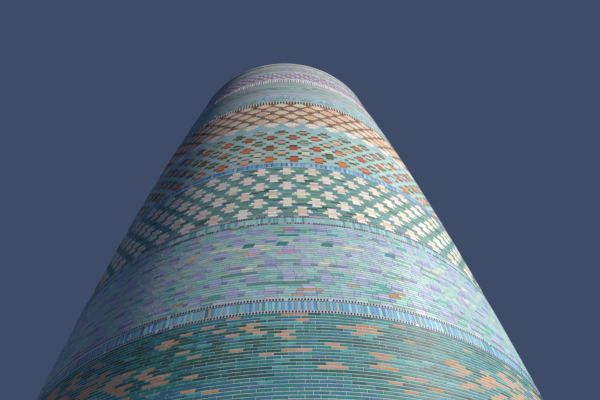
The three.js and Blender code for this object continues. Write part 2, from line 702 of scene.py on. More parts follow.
@dataclass(frozen=True)
class GlazedFinish:
    """Glazed brick or tile: colour from the brick's glaze, clouded, chipped, dusty and glossy."""

    name: str
    roughness: float = 0.58
    coat: float = 0.1
    dust: float = 0.1
    chips: float = 0.25
    spread: float = 0.24
    specular: float = 0.16
    clay: tuple[str, str] = ("#b98a68", "#d3ab85")
    dust_colour: str = "#b5ab9d"

    def build(self) -> bpy.types.Material:
        """Makes the material.

        Returns:
            The material, with its nodes.
        """
        bench = Bench(self.name)
        place = bench.place()
        tone = bench.reading("tone")
        bare = bench.reading("bare")
        colour = bench.reading("glaze", "Color")
        cloud = bench.noise(place, 14.0, 3.0, tone * 40)
        colour = bench.brightened(colour, 1 - self.spread / 2 + tone * self.spread)
        colour = bench.brightened(colour, 0.84 + cloud * 0.32)
        chip = bench.noise(place, 46.0, 4.0, tone * 25)
        edge = 0.72 - bare * 0.52
        lost = chip.above(edge, 0.03) * (self.chips + bare * (1 - self.chips)).clipped()
        clay = bench.blend(bench.noise(place, 90.0, 2.0), linear(self.clay[0]), linear(self.clay[1]))
        colour = bench.blend(lost * (1 - bare * 0.75), colour, clay)
        grain = bench.noise(place, 160.0, 2.0)
        matt = (lost + bare).clipped()
        colour = bench.brightened(colour, 1 - matt * 0.22 + matt * grain * 0.44)
        streak = bench.noise(bench.scaled(place, (2.6, 2.6, 0.35)), 1.0, 5.0)
        drift = bench.noise(place, 0.55, 4.0)
        dust = (streak * 1.1 + drift * 0.9 - 0.72).clipped() * self.dust * 1.6
        colour = bench.blend(dust, colour, linear(self.dust_colour))
        wave = bench.noise(place, 24.0, 2.0, tone * 11)
        height = wave * 0.5 + grain * (0.08 + matt * 0.5) - lost * 0.5
        rough = self.roughness + cloud * 0.16 + dust * 0.5 + matt * 0.5
        return bench.finish(
            Base_Color=colour,
            Roughness=rough.clipped(),
            Coat_Weight=(1 - matt).clipped() * (1 - dust).clipped() * self.coat,
            Coat_Roughness=0.4,
            IOR=1.5,
            Specular_IOR_Level=self.specular,
            Normal=bench.relief(height, 0.35, 0.004),
        )


@dataclass(frozen=True)
class EarthFinish:
    """Mortar, plaster or clay: matt and grainy, with two colours clouded together."""

    name: str
    light: str
    dark: str
    grain: float = 80.0
    cloud: float = 2.2
    depth: float = 0.006

    def build(self) -> bpy.types.Material:
        """Makes the material.

        Returns:
            The material, with its nodes.
        """
        bench = Bench(self.name)
        place = bench.place()
        tone = bench.reading("tone")
        cloud = bench.noise(place, self.cloud, 5.0, tone * 17)
        grain = bench.noise(place, self.grain, 4.0)
        colour = bench.blend((cloud * 2.2 - 0.6).clipped(), linear(self.dark), linear(self.light))
        colour = bench.brightened(colour, 0.72 + grain * 0.4 + tone * 0.16)
        streak = bench.noise(bench.scaled(place, (2.2, 2.2, 0.3)), 1.0, 5.0)
        colour = bench.brightened(colour, 0.86 + streak * 0.28)
        height = grain * 0.7 + cloud * 0.3
        rough = 0.82 + grain * 0.16
        return bench.finish(
            Base_Color=colour,
            Roughness=rough.clipped(),
            Normal=bench.relief(height, 0.7, self.depth),
        )


@dataclass(frozen=True)
class WellFinish:
    """Rough brickwork drawn by the shader, for the well and the parts of the wall that are seldom seen."""

    name: str
    brick_length: float = 0.25
    course: float = 0.07
    joint: float = 0.16
    clay: tuple[str, str] = ("#a07653", "#c39b73")
    mortar: str = "#a99c88"

    def build(self) -> bpy.types.Material:
        """Makes the material.

        Returns:
            The material, with its nodes.
        """
        bench = Bench(self.name)
        place = bench.place()
        x, y, z = (bench.node("SeparateXYZ", {0: place}, axis) for axis in range(3))
        around = y.maths("ARCTAN2", x) * (SHAFT.well_radius / self.brick_length)
        up = z / self.course
        course = up.maths("FLOOR")
        along = around + (course * 0.5).maths("FRACT") + course * 0.13
        brick = along.maths("FLOOR")
        side = (along.maths("FRACT") - 0.5).maths("ABSOLUTE")
        bed_side = (up.maths("FRACT") - 0.5).maths("ABSOLUTE")
        upright = side.above(0.5 - self.joint * 0.2, 0.02)
        level = bed_side.above(0.5 - self.joint * 0.7, 0.06)
        joint = upright.maths("MAXIMUM", level)
        number = bench.node("CombineXYZ", {0: brick, 1: course})
        chance = bench.node("TexWhiteNoise", {"Vector": number}, "Value", noise_dimensions="2D")
        grain = bench.noise(place, 60.0, 4.0)
        cloud = bench.noise(place, 1.3, 4.0)
        clay = bench.blend(chance, linear(self.clay[0]), linear(self.clay[1]))
        clay = bench.brightened(clay, 0.75 + grain * 0.4)
        colour = bench.blend(joint, clay, linear(self.mortar))
        colour = bench.brightened(colour, 0.7 + cloud * 0.6)
        height = (1 - joint) * 0.8 + grain * 0.25 + chance * 0.1
        return bench.finish(
            Base_Color=colour,
            Roughness=(0.84 + grain * 0.14).clipped(),
            Normal=bench.relief(height, 0.8, 0.012),
        )


@dataclass(frozen=True)
class PlainFinish:
    """A plain matt surface for the floor."""

    name: str
    colour: str

    def build(self) -> bpy.types.Material:
        """Makes the material."""
        bench = Bench(self.name)
        return bench.finish(Base_Color=linear(self.colour), Roughness=0.9)


MORTAR = EarthFinish("pale_lime_mortar", "#cfc8bb", "#a49a8b")
PALE_MORTAR = EarthFinish("gypsum_mortar", "#b9c9ca", "#9ba8aa")
MINT_MORTAR = EarthFinish("mint_stained_mortar", "#cdd8c9", "#a6b1a4")
BROWN_MORTAR = EarthFinish("brown_mortar", "#b39d86", "#8a7664")
PLASTER = EarthFinish("coping_plaster", "#b9bdbb", "#979c9c", grain=40.0, cloud=1.4, depth=0.012)
WELL = WellFinish("well_brickwork")
LOWER_GLAZE = GlazedFinish("teal_brick_glaze", dust=0.06, chips=0.5, spread=0.34)
MIDDLE_GLAZE = GlazedFinish("pale_brick_glaze", coat=0.12, dust=0.16, chips=0.3, spread=0.26)
TILE_GLAZE = GlazedFinish("tile_glaze")
UPPER_GLAZE = GlazedFinish("upper_brick_glaze", roughness=0.6, dust=0.22, spread=0.17)
Finish = GlazedFinish | EarthFinish | WellFinish | PlainFinish


class Finishes:
    """The materials, each made once when it is first asked for."""

    def __init__(self) -> None:
        """Starts with none made."""
        self.made: dict[str, bpy.types.Material] = {}

    def of(self, finish: Finish) -> bpy.types.Material:
        """Finds the material of a finish, or makes it.

        Args:
            finish: The finish.

        Returns:
            Its material, which all its pieces share.
        """
        if finish.name not in self.made:
            self.made[finish.name] = finish.build()
        return self.made[finish.name]


FINISHES = Finishes()


@dataclass
class Band:
    """One band of the facing: it stands for a node of the shaft and is made in quarters or whole."""

    node: str
    slot: str
    seed: int
    glaze_finish: GlazedFinish = MIDDLE_GLAZE
    joint_finish: EarthFinish = MINT_MORTAR
    in_quarters: bool = True
    bed_proud: float = -0.006
    root: float = 0.03
    spots: tuple[Spot, ...] = ()

    def __post_init__(self) -> None:
        """Reads the band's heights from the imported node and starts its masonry."""
        low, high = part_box(self.node)
        self.bottom, self.top = low.z, high.z
        self.masonry = Masonry(self.seed)
        self.rng = self.masonry.rng

    def lay(self) -> None:
        """Lays the band's bricks. Each kind of band has its own way."""
        raise NotImplementedError

    def build(self) -> None:
        """Makes the band's meshes, dresses them and sets them in the place of their node."""
        self.lay()
        materials = [FINISHES.of(self.joint_finish), FINISHES.of(self.glaze_finish)]
        stretches = [(f"_{q.name}", q.start, q.start + TURN / 4) for q in Quarter]
        if not self.in_quarters:
            stretches = [("", 0.0, TURN)]
        for suffix, start, end in stretches:
            backing = bed(start, end, self.bottom, self.top, self.bed_proud)
            solid = Solid.joined([backing, self.masonry.solid(start, end, self.root)])
            self.set_in_place(solid.to_object(f"{self.node}_tiles{suffix}", materials))

    def set_in_place(self, piece: bpy.types.Object) -> None:
        """Lets a piece ride on the shaft in the place of the band's node.

        Args:
            piece: The mesh object.
        """
        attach(piece, "root")
        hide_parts(self.node)

    def courses(self, count: int) -> list[tuple[float, float]]:
        """Returns the underside and the upper side of each of so many courses, joints included."""
        height = (self.top - self.bottom) / count
        return [(self.bottom + height * i, self.bottom + height * (i + 1)) for i in range(count)]

    def worn(self, centre: Array, low: float, high: float, glaze: Array, bare: Array) -> tuple[Array, Array]:
        """Lays the band's spots over a course and draws the clay of its bare bricks.

        Args:
            centre: The angle of each brick's middle.
            low: The course's underside.
            high: The course's upper side.
            glaze: The mark of each brick's glaze.
            bare: Which bricks have lost their glaze by chance.

        Returns:
            The mark of each brick, and which of them are bare.
        """
        for spot in self.spots:
            here = spot.covers(centre, (low + high) / 2, float(SHAFT.radius(low)))
            if spot.glaze:
                glaze = np.where(here, spot.glaze.mark, glaze)
            else:
                bare = bare | here
        return np.where(bare, pick(self.rng, BARE, len(centre)), glaze), bare


@dataclass
class Module:
    """The stepped star that the patterned bands repeat: 3 bricks wide and 6 courses high.

    A body stands in all six courses, with an arm on each side of it in the two middle ones. Every other
    row is shifted by half a repeat. The reach is half the width of the end courses, of the courses next to
    them and of the two middle ones, in bricks; what is wider than a brick is laid as two. The taper is how
    much narrower the upper of the middle courses is on each side.
    """

    repeats: int
    phase: float
    width: int = 3
    courses: int = 6
    reach: tuple[float, float, float] = (0.5, 0.5, 1.0)
    taper: float = 0.0

    @property
    def pitch(self) -> float:
        """The angle of one repeat."""
        return TURN / self.repeats

    def centres(self, row: int) -> Array:
        """Returns the angle of each star's middle in a row."""
        shift = 0.0 if row % 2 else 0.5
        return math.radians(self.phase) + (np.arange(self.repeats) + shift) * self.pitch

    def parts(self, course: int) -> list[tuple[float, float, str]]:
        """Sets out the bricks of one repeat in a course.

        Args:
            course: The course in the row of stars, from 0 at the bottom to 5.

        Returns:
            Each brick's left and right side, in bricks from the star's middle, and what it is.
        """
        if course in (2, 3):
            tip = self.reach[2] - self.taper * (course == 3)
            arms = [(-tip, -0.5, "arm"), (-0.5, 0.5, "body"), (0.5, tip, "arm")]
            return arms + [(tip, self.width - tip, "ground")]
        kind = "end" if course in (0, 5) else "body"
        side = self.reach[0] if kind == "end" else self.reach[1]
        bricks = [(-side, side, kind)] if side <= 0.5 else [(-side, 0.0, kind), (0.0, side, kind)]
        return bricks + [(side, 1.5, "ground"), (1.5, self.width - side, "ground")]


def by_chance(values: Array, limits: Weights) -> Array:
    """Picks a glaze for each of several values.

    Args:
        values: Numbers from 0 to 1.
        limits: The value up to which each glaze is taken, rising to 1.

    Returns:
        One mark for each value.
    """
    tops = list(limits.values())
    return marks(list(limits))[np.searchsorted(tops, values).clip(0, len(tops) - 1)]


@dataclass
class PatternBand(Band):
    """A band of brick courses that draw rows of stepped stars on a ground."""

    module: Module = field(default_factory=lambda: Module(56, 0.3))
    rows: int = 6
    bed_joint: float = 0.007
    head_joint: float = 0.005
    loss: float = 0.0
    shading: float = 0.5
    sway: float = 0.02
    uneven: float = 0.0007
    set_back: float = 0.001
    bed_proud: float = -0.0045

    def draw(self, count: int, **shares: float) -> Array:
        """Draws so many glazes from their names and how often each comes."""
        return pick(self.rng, mix(**shares), count)

    def choose(self, row: int, course: int, part: str, centres: Array, star: Array) -> Array:
        """Draws the glazes of one part of the stars. Each band has its own colours.

        Args:
            row: The row of stars, from the bottom.
            course: The course in the row.
            part: body, end, arm or ground.
            centres: The angle of each brick's middle.
            star: A number from 0 to 1 for each star.

        Returns:
            One mark for each brick.
        """
        raise NotImplementedError

    def lay(self) -> None:
        """Lays the rows of stars."""
        courses = self.courses(self.rows * self.module.courses)
        patches = Patches(self.seed, length=0.5, height=0.13)
        shades = Patches(self.seed + 50, length=1.1, height=0.1)
        unit = self.module.pitch / self.module.width
        half = self.bed_joint / 2
        for row in range(self.rows):
            middles = self.module.centres(row)
            star = self.rng.random(len(middles))
            for course in range(self.module.courses):
                low, high = courses[row * self.module.courses + course]
                gap = self.head_joint / float(SHAFT.radius(low))
                sway = self.rng.normal(0, self.sway)
                for start, end, part in self.module.parts(course):
                    left = middles + (start + sway) * unit + gap / 2
                    right = middles + (end + sway) * unit - gap / 2
                    centre = (left + right) / 2
                    glaze = self.choose(row, course, part, centre, star)
                    bare = patches.at(centre, low) > 1 - self.loss
                    glaze, bare = self.worn(centre, low, high, glaze, bare)
                    proud = self.rng.normal(0, self.uneven, len(centre)) - bare * self.set_back
                    chance = self.rng.random(len(centre)) * (1 - self.shading)
                    tone = chance + self.shading * shades.at(centre, low)
                    self.masonry.lay(left, right, low + half, high - half, glaze, proud, bare, tone)


class StarBand(PatternBand):
    """Cream stars on teal."""

    def choose(self, row: int, course: int, part: str, centres: Array, star: Array) -> Array:
        """Draws cream and peach for the stars and teal for the ground.

        Args:
            row: The row of stars, from the bottom.
            course: The course in the row.
            part: body, end, arm or ground.
            centres: The angle of each brick's middle.
            star: A number from 0 to 1 for each star.

        Returns:
            One mark for each brick.
        """
        count = len(centres)
        if part == "ground":
            return self.draw(count, SEA_GREEN=6, SEA_BLUE=3, SAGE_TEAL=5, BOTTLE_GREEN=1)
        if part == "body":
            body = by_chance(star, mix(PALE_PEACH=0.24, PALE_PINK=0.5, CREAM=0.84, WHITE=0.94, STRAW=1))
            warm = (self.rng.random(count) < 0.12) & (star < 0.5)
            body = np.where(warm, Glaze.PEACH.mark, body)
            pale = self.draw(count, PALE_PINK=3, CREAM=3, WHITE=1)
            return np.where(self.rng.random(count) < 0.35, pale, body)
        return self.draw(count, WHITE=5, CREAM=2)


class DiamondBand(PatternBand):
    """Lilac diamonds on mint and pale turquoise, with a few bricks of strong teal."""

    def choose(self, row: int, course: int, part: str, centres: Array, star: Array) -> Array:
        """Draws lilac for the diamonds and mint or sage for the ground.

        Args:
            row: The row of stars, from the bottom.
            course: The course in the row.
            part: body, end, arm or ground.
            centres: The angle of each brick's middle.
            star: A number from 0 to 1 for each star.

        Returns:
            One mark for each brick.
        """
        count = len(centres)
        turquoise = mix(AQUA=7, MINT=5, PALE_TURQUOISE=5, PALE_BLUE=2, TURQUOISE=1)
        sage = mix(SAGE=7, MINT=7, PALE_TURQUOISE=3, PALE_BLUE=2, STRAW=0.15)
        ground = pick(self.rng, turquoise if row in (0, 1, 5) else sage, count)
        lilac = self.draw(count, LILAC=8, PALE_LILAC=3, MAUVE=3, PALE_BLUE=2)
        share = {"ground": 0.05, "end": 0.6, "arm": 0.85, "body": 0.94}[part]
        glaze = np.where(self.rng.random(count) < share, lilac, ground)
        heart = course == 2 and part in ("body", "arm")
        glaze = np.where(heart & (self.rng.random(count) < 0.4), Glaze.DARK_MAUVE.mark, glaze)
        level = row * self.module.courses + course
        lines = Patches(self.seed + 3, length=2.2, height=0.5).at(centres, level * 1.7)
        return np.where((lines > 0.72) & (part == "ground"), Glaze.SAGE_TEAL.mark, glaze)


class CrossBand(PatternBand):
    """Rows of orange crosses and of olive crosses by turns, on light turquoise."""

    def choose(self, row: int, course: int, part: str, centres: Array, star: Array) -> Array:
        """Draws warm colours in the even rows and greens in the odd ones, on a light ground.

        Args:
            row: The row of stars, from the bottom.
            course: The course in the row.
            part: body, end, arm or ground.
            centres: The angle of each brick's middle.
            star: A number from 0 to 1 for each star.

        Returns:
            One mark for each brick.
        """
        count = len(centres)
        if part == "ground":
            return self.draw(count, MINT=7, SAGE=11, PALE_TURQUOISE=4, AQUA=1, STRAW=1, PALE_BLUE=1)
        edge = part != "body" or (course in (1, 4) and row != 0)
        mixed = self.rng.random(count) < (0.45 if part == "body" else 1.0)
        if row % 2 == 0:
            heart = by_chance(star, mix(ORANGE=0.55 if row else 0.85, RUSSET=0.94, PEACH=1))
            other = self.draw(count, RUSSET=4, ORANGE=3, OLIVE=2, PEACH=2)
            heart = np.where(self.rng.random(count) < 0.28, other, heart)
            dark = self.draw(count, MAROON=4, RUSSET=2, OLIVE=2, UMBER=2)
        else:
            heart = by_chance(star, mix(STRAW=0.3, PEACH=0.5, PINK=0.6, SAGE=0.8, OLIVE=1))
            heart = np.where(self.rng.random(count) < (0.7 if row == 5 else 0.3), Glaze.OLIVE.mark, heart)
            dark = self.draw(count, FOREST=6, OLIVE=3, SLATE=1)
        return np.where(mixed & edge, dark, heart)


class LatticeBand(PatternBand):
    """Cream lozenges in a brown lattice, whiter on turquoise in the lowest row."""

    def choose(self, row: int, course: int, part: str, centres: Array, star: Array) -> Array:
        """Draws cream for the lozenges and browns for the lattice.

        Args:
            row: The row of stars, from the bottom.
            course: The course in the row.
            part: body, end, arm or ground.
            centres: The angle of each brick's middle.
            star: A number from 0 to 1 for each star.

        Returns:
            One mark for each brick.
        """
        count = len(centres)
        if part == "ground" and row == 0:
            return self.draw(count, PALE_TURQUOISE=5, AQUA=3, PALE_BLUE=2, GREY_GREEN=2)
        if part == "ground":
            return self.draw(count, UMBER=9, TAWNY=5, OLIVE=2, RUSSET=0.5, FOREST=0.5)
        if row == 0:
            return self.draw(count, WHITE=3, PALE_PINK=2, CREAM=3)
        if part == "body":
            return by_chance(star, mix(PALE_PEACH=0.36, PALE_PINK=0.5, PEACH=0.7, PINK=0.76, STRAW=1))
        return self.draw(count, STRAW=4, PALE_PEACH=4, PEACH=2)


# The spots are placed one by one from this height up; below it only chance lays the bare bricks.
SPOTS_FROM = 5.8


@dataclass
class CourseBand(Band):
    """Plain brick courses in running bond, with patches where the glaze is lost.

    Near the front, within the span in degrees, the spots lay most of the bare bricks, so that chance lays
    fewer there. The changes are weights that hold up to a height, before those of the rest of the band.
    """

    course_count: int = 98
    bricks: int = 172
    weights: Weights = field(default_factory=dict)
    loss: float = 0.0
    bed_joint: float = 0.02
    head_joint: float = 0.01
    spots_span: float = 36.0
    near_loss: float = 0.35
    drift: float = 0.0
    uneven: float = 0.0009
    set_back: float = 0.0015
    course_shift: float = 0.08
    brick_shift: float = 0.03
    joint_range: tuple[float, float] = (0.3, 1.7)
    frayed: float = 0.05
    tone_shares: tuple[float, float] = (0.45, 0.55)
    changes: tuple[tuple[float, Weights], ...] = ()

    def lay(self) -> None:
        """Lays the courses."""
        patches = Patches(self.seed, 0.55, 0.12)
        shades = Patches(self.seed + 50, 1.6, 0.3)
        step = TURN / self.bricks
        half = self.bed_joint / 2
        for index, (low, high) in enumerate(self.courses(self.course_count)):
            shift = 0.5 * (index % 2) + self.rng.uniform(-self.course_shift, self.course_shift)
            starts = (np.arange(self.bricks) + shift) * step
            starts = starts + self.rng.normal(0, self.brick_shift * step, self.bricks)
            ends = np.roll(starts, -1)
            ends[-1] += TURN
            gap = self.head_joint * self.rng.uniform(*self.joint_range, self.bricks) / SHAFT.radius(low)
            left, right = starts + gap / 2, ends - gap / 2
            centre = (left + right) / 2
            chance = patches.at(centre, low) + self.rng.normal(0, self.frayed, self.bricks)
            loss = self.loss
            if self.spots and low > SPOTS_FROM:
                near = np.abs((centre + math.pi) % TURN - math.pi) < math.radians(self.spots_span)
                loss = np.where(near, loss * self.near_loss, loss)
            glaze = self.drifting(centre, low)
            glaze, bare = self.worn(centre, low, high, glaze, chance > 1 - loss)
            own, common = self.tone_shares
            tone = (own * self.rng.random(self.bricks) + common * shades.at(centre, low)).clip(0, 1)
            proud = self.rng.normal(0, self.uneven, self.bricks) - bare * self.set_back
            self.masonry.lay(left, right, low + half, high - half, glaze, proud, bare, tone,
                             wobble=self.uneven)

    def drifting(self, centre: Array, height: float) -> Array:
        """Draws the glazes of a course so that neighbours are alike where the band's glazes drift.

        Args:
            centre: The angle of each brick's middle.
            height: The height of the course.

        Returns:
            One mark for each brick.
        """
        weights = next((weights for top, weights in self.changes if height < top), self.weights)
        share = np.cumsum(list(weights.values())) / sum(weights.values())
        place = Patches(self.seed + 80, 1.3, 0.11).at(centre, height)
        place = ((place - 0.5) * 2.2 + 0.5).clip(0, 0.999)
        draw = np.where(self.rng.random(len(centre)) < self.drift, place, self.rng.random(len(centre)))
        return by_chance(draw, dict(zip(weights, share)))


@dataclass
class UprightBand(Band):
    """Rows of small upright tiles between level edges."""

    tiles: int = 700
    weights: Weights = field(default_factory=dict)
    second: Weights | None = None
    fill: float = 0.82
    edge: float = 0.008
    loss: float = 0.0
    proud: float = -0.003
    uneven: float = 0.0008
    bevel: float = 0.0015
    cap: float = 0.0
    cap_fill: float = 0.9
    cap_joint: float = 0.004
    cap_proud: float = 0.003
    cap_weights: Weights = field(default_factory=dict)

    def lay(self) -> None:
        """Lays the tiles, by turns in two sets of colours where the band has them."""
        top = self.top - self.cap
        if self.cap:
            glaze = pick(self.rng, self.cap_weights, self.tiles)
            self.masonry.lay(*ring(self.tiles, self.cap_fill), top + self.cap_joint,
                             self.top - self.cap_joint, glaze, self.proud + self.cap_proud, bevel=self.bevel)
        left, right = ring(self.tiles, self.fill)
        glaze = pick(self.rng, self.weights, self.tiles)
        if self.second:
            second = pick(self.rng, self.second, self.tiles)
            glaze = np.where(np.arange(self.tiles) % 2 == 0, glaze, second)
        bare = Patches(self.seed, 0.5, 0.4).at(left, 0.0) > 1 - self.loss
        glaze = np.where(bare, pick(self.rng, BARE, self.tiles), glaze)
        proud = self.proud + self.rng.normal(0, self.uneven, self.tiles)
        self.masonry.lay(left, right, self.bottom + self.edge, top - self.edge, glaze, proud, bare,
                         bevel=self.bevel)


@dataclass
class BeadRow(Band):
    """A thin pale fillet with black square beads."""

    beads: int = 700
    strip: Glaze = Glaze.PEARL
    bead: Glaze = Glaze.NIGHT
    missing: float = 0.04
    faded: float = 0.08
    shift: float = 0.2
    fill: float = 0.56
    tall: float = 0.66
    strip_proud: float = 0.004
    bead_proud: float = 0.008

    def lay(self) -> None:
        """Lays the beads, a few of them missing or faded."""
        left, right = ring(self.beads, self.fill, self.shift)
        there = self.rng.random(self.beads) > self.missing
        there &= Patches(self.seed, 0.8, 0.4).at(left, 0.0) <= 1 - self.faded
        middle, half = (self.bottom + self.top) / 2, (self.top - self.bottom) / 2 * self.tall
        self.masonry.lay(left[there], right[there], middle - half, middle + half, self.bead.mark,
                         self.bead_proud, slot=0, bevel=0.002)

    def build(self) -> None:
        """Makes the fillet and its beads as two pieces."""
        self.lay()
        tile = FINISHES.of(self.glaze_finish)
        fillet = bed(0.0, TURN, self.bottom, self.top, self.strip_proud, glaze=self.strip.mark)
        for name, solid in (("fillet", fillet), ("beads", self.masonry.solid(0.0, TURN))):
            self.set_in_place(solid.to_object(f"{self.node}_{name}", [tile]))


@dataclass
class ToothRow(Band):
    """Upright bricks set like teeth, with a ground of other bricks between them. A black ground, as in the
    dentil row, is painted shade for the gaps between the teeth.
    """

    teeth: int = 324
    tooth: Weights = field(default_factory=dict)
    ground: Weights = field(default_factory=dict)
    fill: float = 0.48
    joint: float = 0.004
    tooth_proud: float = 0.005
    ground_proud: float = 0.001

    def lay(self) -> None:
        """Lays the teeth and the bricks between them."""
        left, middle = ring(self.teeth, self.fill)
        gap = self.joint / SHAFT.radius(self.bottom)
        for start, end, weights, proud, uneven, bevel in (
            (left + gap, middle - gap, self.tooth, self.tooth_proud, 0.0015, 0.004),
            (middle, left + TURN / self.teeth, self.ground, self.ground_proud, 0.001, 0.002),
        ):
            glaze = pick(self.rng, weights, self.teeth)
            proud = proud + self.rng.normal(0, uneven, self.teeth)
            self.masonry.lay(start, end, self.bottom, self.top, glaze, proud, bevel=bevel)


@dataclass
class StreakedBand(CourseBand):
    """Pale turquoise courses with rows of short upright blue tiles near their foot."""

    marks_count: int = 324
    marks_rows: int = 4
    marks_low: float = 0.14
    marks_height: float = 0.17
    marks_fill: float = 0.9
    marks_proud: float = 0.003
    marks_middle: float = math.radians(2)
    marks_reach: float = 0.16

    def lay(self) -> None:
        """Lays the courses, then the upright tiles over the lowest ones."""
        super().lay()
        blues = mix(SKY=4, AZURE=2, TURQUOISE=2, HAZE=3, AQUA=2)
        step = TURN / self.marks_count
        for row in range(self.marks_rows):
            left = (np.arange(0, self.marks_count, 2) + row % 2) * step
            here = Patches(self.seed + 9, 3.4, 0.5).at(left, row * 0.2) > 0.45
            left = left[here | (np.abs(left - self.marks_middle) < self.marks_reach)]
            glaze = pick(self.rng, blues, len(left))
            low = self.bottom + self.marks_low + row * self.marks_height
            high = low + self.marks_height * self.marks_fill
            self.masonry.lay(left, left + step * self.marks_fill, low, high, glaze, self.marks_proud,
                             bevel=0.002)


@dataclass
class Frieze(Band):
    """Lilac tiles with a lattice of raised straps and a small white star in each lozenge of it."""

    bays: int = 78
    rows: int = 2
    strap_width: float = 0.042
    steps: int = 8
    relief: float = 0.006
    depth: float = 0.006
    ground_proud: float = -0.006
    border: float = 0.24
    sweep: float = 0.09
    star: float = 0.105
    notch: float = 0.55
    tips: int = 8
    tile_rows: int = 6
    tiles: int = 128
    head_joint: float = 0.0025

    def lay(self) -> None:
        """Lays the square tiles of the ground and the two level borders."""
        left, right = ring(self.tiles, gap=self.head_joint / SHAFT.radius(self.bottom))
        ground = mix(MIST_LILAC=9, PALE_LILAC=2, ROSE=4, SILVER=2)
        lower = mix(ROSE=4, PALE_LILAC=2, MIST_LILAC=2)
        upper = mix(PALE_LILAC=4, SILVER=4, MIST_LILAC=1)
        height = self.field_height / self.tile_rows
        foot = self.bottom + self.border
        rows = [(foot + row * height, height, 0.003, ground, self.ground_proud)
                for row in range(self.tile_rows)]
        rows += [(self.bottom, self.border, 0.004, lower, 0.0),
                 (self.top - self.border, self.border, 0.004, upper, 0.0)]
        for low, height, gap, weights, proud in rows:
            glaze = pick(self.rng, weights, self.tiles)
            self.masonry.lay(left, right, low + gap, low + height - gap, glaze, proud)

    @property
    def field_height(self) -> float:
        """The height of the lattice between the two borders."""
        return self.top - self.bottom - 2 * self.border

    @property
    def radius(self) -> float:
        """The radius of the face at the band's middle."""
        return float(SHAFT.radius((self.bottom + self.top) / 2))

    def straps(self, lean: int, lift: float) -> Solid:
        """Makes one strap from each bay.

        Args:
            lean: 1 for straps that climb to the right, -1 for ones that climb to the left.
            lift: How far they stand over the others, so that they seem to pass over them.

        Returns:
            The straps in one solid.
        """
        turn = np.linspace(0, 1, self.steps * self.rows + 1)
        curl = self.sweep * np.sin(turn * self.rows * 2 * TURN)
        angle = lean * (TURN / self.bays) * (turn * self.rows + curl)
        line = np.stack([angle, self.border + turn * self.field_height], -1)
        scale = np.array([self.radius, 1])
        run = np.gradient(line * scale, axis=0)
        run /= np.linalg.norm(run, axis=1, keepdims=True)
        across = np.stack([-run[:, 1], run[:, 0]], -1) * self.strap_width / 2 / scale
        starts = np.arange(self.bays)[:, None] * TURN / self.bays
        base, face = self.ground_proud - self.depth, self.ground_proud + self.relief + lift
        corners, flats = [], []
        for side, proud, spread in ((-1, base, 1.3), (-1, face, 1.0), (1, face, 1.0), (1, base, 1.3)):
            edge, unrolled = line + across * side, line + across * side * spread
            corners.append(SHAFT.place(starts + edge[:, 0], self.bottom + edge[:, 1], proud))
            place = np.broadcast_arrays(starts + unrolled[:, 0], self.bottom + unrolled[:, 1])
            flats.append(np.stack(place, -1))
        corner = np.arange(4)
        following = (corner + 1) % 4
        strap = np.arange(self.bays)[:, None, None] * len(line) * 4
        here = strap + np.arange(len(line) - 1)[:, None] * 4
        sides = np.stack([here + corner, here + following, here + 4 + following, here + 4 + corner], -1)
        sides = sides.reshape(-1, 4)
        foot = strap[:, 0] + corner[::-1]
        head = strap[:, 0] + (len(line) - 1) * 4 + corner
        faces = np.concatenate([sides, foot, head])[:, ::lean]
        index = np.arange(len(faces))
        region = np.where((index % 4 < 3) & (index < len(sides)), Region.SHOWN, Region.HIDDEN)
        points, flat = np.stack(corners, 2).reshape(-1, 3), np.stack(flats, 2).reshape(-1, 2)
        return Solid(points, faces, flat, region, 1, Glaze.DUSK.mark)

    def stars(self) -> Solid:
        """Makes an eight-pointed star in the middle of each lozenge.

        Returns:
            The stars in one solid.
        """
        count = 2 * self.tips
        rim = np.arange(count)
        reach = self.star * np.where(rim % 2, self.notch, 1.0)
        turn = rim / count * TURN
        outline = np.stack([reach * np.cos(turn) / self.radius, reach * np.sin(turn)], -1)
        outline = np.concatenate([outline, [(0.0, 0.0)]])
        half = self.field_height / self.rows / 2
        places = np.array([
            ((bay + 0.5 * (1 - level % 2)) * TURN / self.bays, self.bottom + self.border + level * half)
            for level in range(1, 2 * self.rows) for bay in range(self.bays)
        ])[:, None, None]
        corners = places + outline
        proud = np.array([[self.ground_proud - self.depth], [self.ground_proud + self.relief]])
        points = SHAFT.place(corners[..., 0], corners[..., 1], proud)
        flat = places + outline * np.array([1.2, 1.0])[:, None, None]
        front = len(outline)
        tips, after = rim[::2], (rim + 1) % count
        fan = np.stack([np.full(self.tips, count), (tips - 1) % count, tips, tips + 1], -1)
        edge = np.stack([rim, after, after + front, rim + front], -1)
        star = np.concatenate([fan + front, fan[:, ::-1], edge])
        faces = (star + np.arange(len(places))[:, None, None] * 2 * front).reshape(-1, 4)
        parts = [Region.SHOWN] * self.tips + [Region.HIDDEN] * self.tips + [Region.SHOWN] * count
        return Solid(points.reshape(-1, 3), faces, flat.reshape(-1, 2), np.tile(parts, len(places)), 1,
                     Glaze.PEARL.mark)

    def build(self) -> None:
        """Makes the tiles in quarters, and the straps and stars as pieces of their own."""
        super().build()
        tile = FINISHES.of(self.glaze_finish)
        solids = {"right_straps": self.straps(1, 0.0), "left_straps": self.straps(-1, 0.002),
                  "stars": self.stars()}
        for name, solid in solids.items():
            self.set_in_place(solid.to_object(f"{self.node}_{name}", [tile, tile]))


